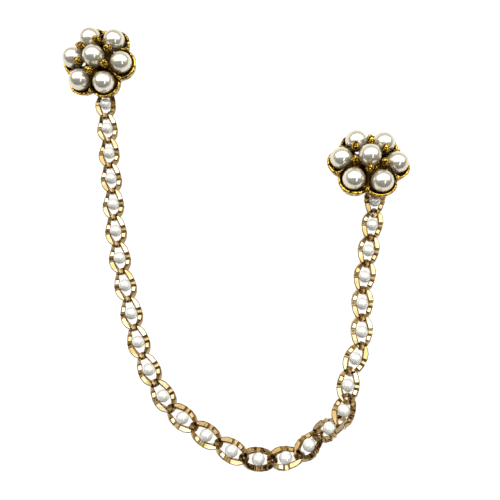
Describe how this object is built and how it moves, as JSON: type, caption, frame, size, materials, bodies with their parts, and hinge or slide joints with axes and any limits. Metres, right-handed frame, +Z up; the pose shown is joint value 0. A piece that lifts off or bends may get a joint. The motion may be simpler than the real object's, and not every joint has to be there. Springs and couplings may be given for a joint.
{
  "type": "pearl chain lapel pin",
  "caption": "Two pearl flower pins joined by a draped chain of twisted oval links, each link with a small pearl held across it, for a lapel, collar or cardigan.",
  "frame": {"origin": "middle of the bounding box on the surface that the piece lies on", "axes": "+Z up from the surface, +Y from the bottom of the chain's curve towards the flowers, +X from the left flower towards the right one"},
  "size_m": [0.1116, 0.1385, 0.0136],
  "materials": {
    "antique_gold": "bright gold crests over blackened recesses",
    "plain_gold": "satin",
    "pale_gold": "polished, pale",
    "flower_pearl": "pearl lustre",
    "chain_pearl": "pearl lustre"
  },
  "bodies": {
    "root": {"left_setting": "antique_gold", "right_setting": "antique_gold", "left_bar_pin": "plain_gold", "right_bar_pin": "plain_gold", "left_centre_pearl": "flower_pearl", "right_centre_pearl": "flower_pearl", "left_petal_pearl_1": "flower_pearl", "left_petal_pearl_2": "flower_pearl", "left_petal_pearl_3": "flower_pearl", "left_petal_pearl_4": "flower_pearl", "left_petal_pearl_5": "flower_pearl", "left_petal_pearl_6": "flower_pearl", "right_petal_pearl_1": "flower_pearl", "right_petal_pearl_2": "flower_pearl", "right_petal_pearl_3": "flower_pearl", "right_petal_pearl_4": "flower_pearl", "right_petal_pearl_5": "flower_pearl", "right_petal_pearl_6": "flower_pearl", "link_01": "pale_gold", "link_02": "pale_gold", "link_03": "pale_gold", "link_04": "pale_gold", "link_05": "pale_gold", "link_06": "pale_gold", "link_07": "pale_gold", "link_08": "pale_gold", "link_09": "pale_gold", "link_10": "pale_gold", "link_11": "pale_gold", "link_12": "pale_gold", "link_13": "pale_gold", "link_14": "pale_gold", "link_15": "pale_gold", "link_16": "pale_gold", "link_17": "pale_gold", "link_18": "pale_gold", "link_19": "pale_gold", "link_20": "pale_gold", "link_21": "pale_gold", "link_22": "pale_gold", "link_23": "pale_gold", "link_24": "pale_gold", "link_25": "pale_gold", "link_26": "pale_gold", "link_27": "pale_gold", "link_28": "pale_gold", "chain_pearls_1": "chain_pearl", "chain_pearls_2": "chain_pearl", "chain_pearls_3": "chain_pearl", "chain_pearls_4": "chain_pearl"}
  },
  "joints": []
}
